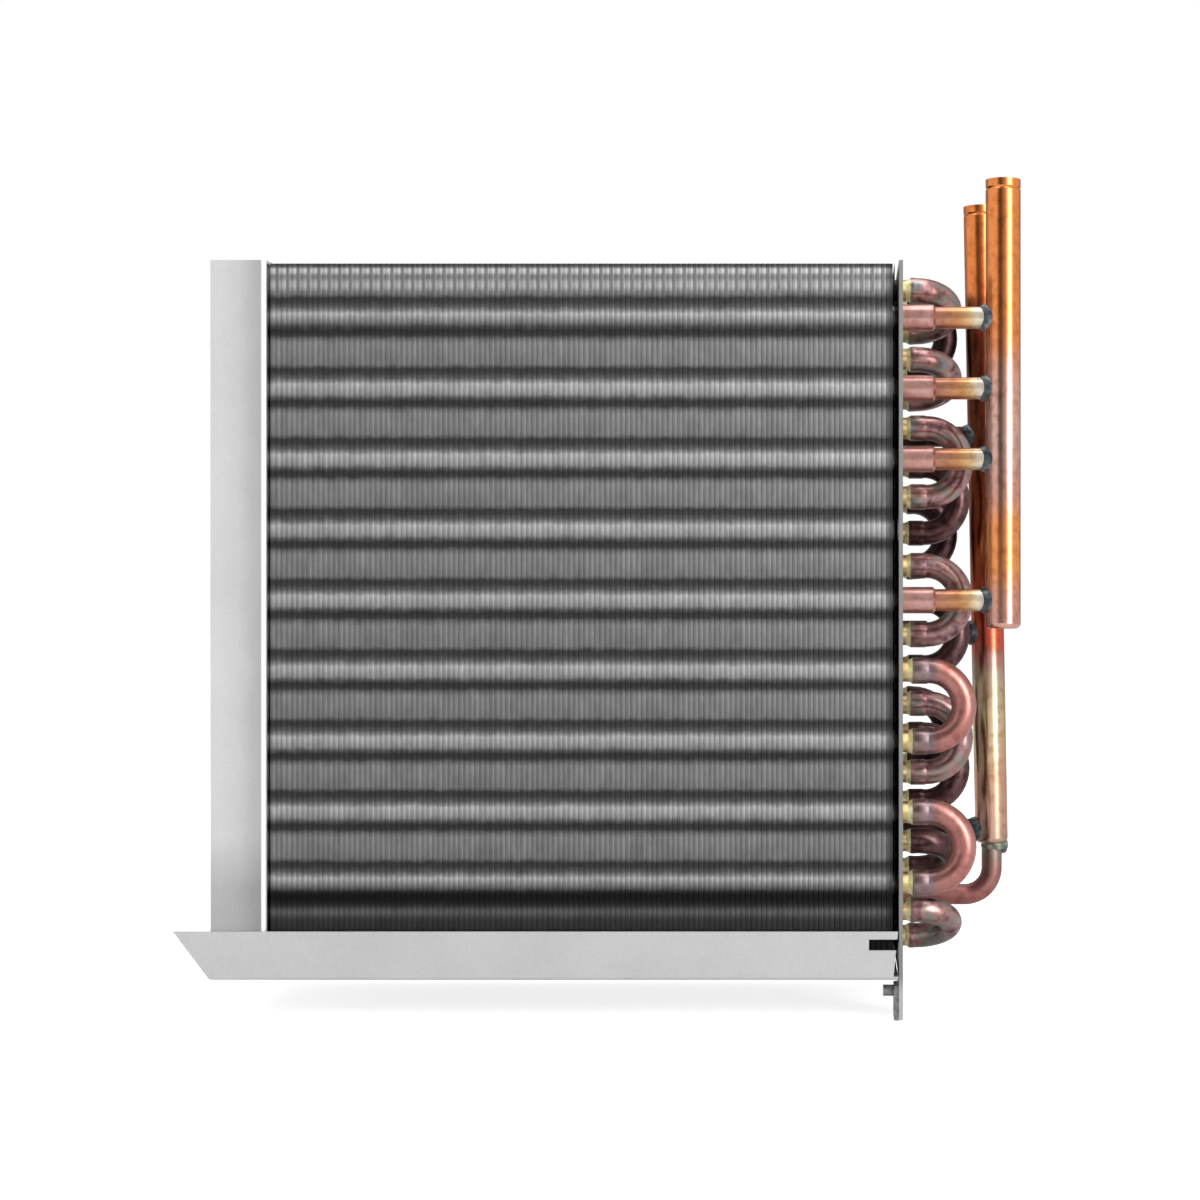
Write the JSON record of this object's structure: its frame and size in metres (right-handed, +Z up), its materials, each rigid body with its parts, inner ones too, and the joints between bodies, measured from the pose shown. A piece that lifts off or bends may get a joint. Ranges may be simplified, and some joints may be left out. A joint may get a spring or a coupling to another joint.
{
  "type": "finned tube heater coil",
  "caption": "Upright fin-and-tube coil with galvanised end plates, copper return bends and two vertical copper headers on one side.",
  "frame": {"origin": "middle of the underside of the bottom angle, below the middle of the fin pack", "axes": "+X along the tubes towards the headers, +Y through the fins from the lipped face to the back, +Z up along the headers"},
  "size_m": [0.3016, 0.0913, 0.3026],
  "materials": {
    "fins": "bare mill finish",
    "galvanised_sheet": "dull galvanised",
    "dark_steel": "dull",
    "copper": "brazed, heat-tinted"
  },
  "bodies": {
    "root": {"bottom_angle": "galvanised_sheet", "fin_pack": "fins", "front_feeder_1": "copper", "front_feeder_2": "copper", "front_feeder_3": "copper", "front_feeder_4": "copper", "front_header": "copper", "hairpin_r1_t0_r2_t0": "copper", "hairpin_r1_t1_r2_t1": "copper", "hairpin_r1_t2_r2_t2": "copper", "hairpin_r1_t4_r1_t5": "copper", "hairpin_r1_t6_r2_t6": "copper", "hairpin_r1_t8_r2_t9": "copper", "hairpin_r2_t3_r2_t4": "copper", "hairpin_r2_t5_r3_t4": "copper", "hairpin_r2_t7_r3_t6": "copper", "hairpin_r2_t8_r1_t7": "copper", "hairpin_r3_t0_r4_t0": "copper", "hairpin_r3_t1_r3_t2": "copper", "hairpin_r3_t3_r4_t3": "copper", "hairpin_r3_t5_r4_t6": "copper", "hairpin_r3_t7_r3_t8": "copper", "hairpin_r3_t9_r4_t9": "copper", "hairpin_r4_t1_r4_t2": "copper", "hairpin_r4_t4_r4_t5": "copper", "hairpin_r4_t7_r4_t8": "copper", "left_end_plate": "galvanised_sheet", "nut_plate": "dark_steel", "rear_feeder_1": "copper", "rear_feeder_2": "copper", "rear_feeder_3": "copper", "rear_header": "copper", "return_bend_r1_t5_r1_t6": "copper", "return_bend_r1_t7_r1_t8": "copper", "return_bend_r2_t0_r3_t0": "copper", "return_bend_r2_t1_r3_t1": "copper", "return_bend_r2_t2_r2_t3": "copper", "return_bend_r2_t4_r2_t5": "copper", "return_bend_r2_t6_r2_t7": "copper", "return_bend_r2_t8_r3_t8": "copper", "return_bend_r2_t9_r3_t9": "copper", "return_bend_r3_t2_r3_t3": "copper", "return_bend_r3_t4_r3_t5": "copper", "return_bend_r3_t6_r3_t7": "copper", "return_bend_r4_t0_r4_t1": "copper", "return_bend_r4_t3_r4_t4": "copper", "return_bend_r4_t6_r4_t7": "copper", "right_tube_sheet": "galvanised_sheet", "supply_tube": "copper"}
  },
  "joints": []
}
